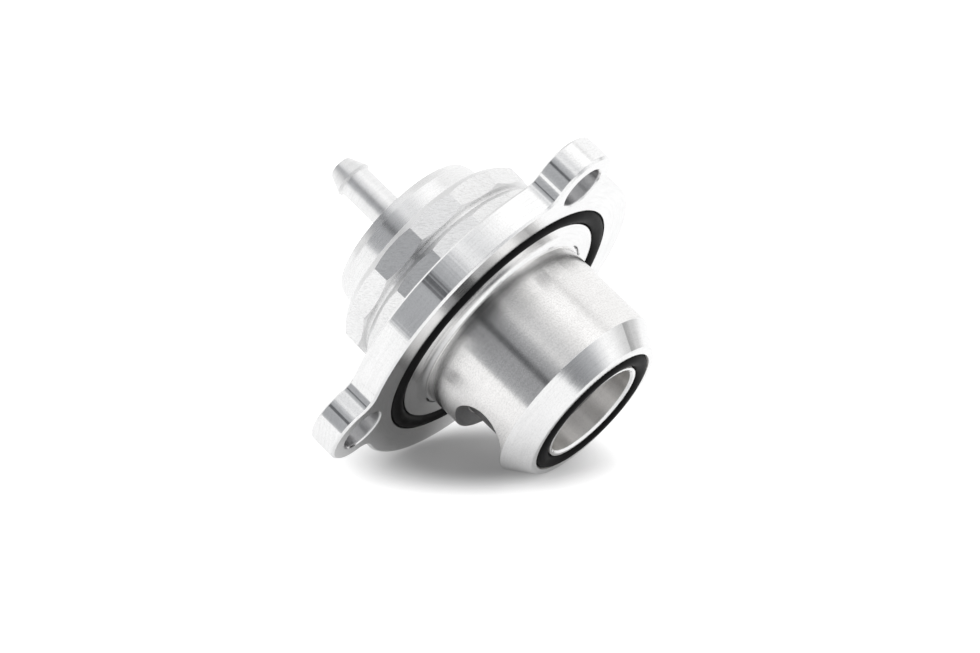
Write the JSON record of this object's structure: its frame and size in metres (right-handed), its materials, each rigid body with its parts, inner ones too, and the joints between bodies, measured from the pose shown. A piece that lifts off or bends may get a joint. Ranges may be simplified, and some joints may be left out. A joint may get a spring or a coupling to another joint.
{
  "type": "blow off valve",
  "caption": "Machined aluminium piston blow off valve: lobed bolt flange, side-ported spigot with face seals, faceted grip rings, sprung piston and barbed vacuum nipple.",
  "frame": {"origin": "centre of the flange's mounting face, on the valve's axis", "axes": "+Z along the axis from the nose towards the vacuum nipple, +X through one bolt hole; the side port faces -X"},
  "size_m": [0.0612, 0.0604, 0.0559],
  "materials": {
    "machined_aluminium": "bright machined",
    "piston_aluminium": "fine turned",
    "black_rubber": "satin",
    "guide_plastic": "satin",
    "spring_steel": "drawn wire"
  },
  "bodies": {
    "housing": {"valve_body": "machined_aluminium", "flange_oring": "black_rubber", "nose_oring": "black_rubber", "top_cap": "machined_aluminium", "cap_oring": "black_rubber", "vacuum_nipple": "machined_aluminium", "return_spring": "spring_steel", "spring_washer": "spring_steel"},
    "piston": {"piston": "piston_aluminium", "piston_oring_front": "black_rubber", "piston_oring_rear": "black_rubber", "piston_guide_ring": "guide_plastic"}
  },
  "joints": [
    {"name": "piston_slide", "type": "slide", "parent": "housing", "child": "piston", "axis": [0, 0, 1], "range_m": [0, 0.009], "stiffness_N_per_m": 1000, "springref_m": -0.006, "deforming": ["return_spring"]}
  ]
}
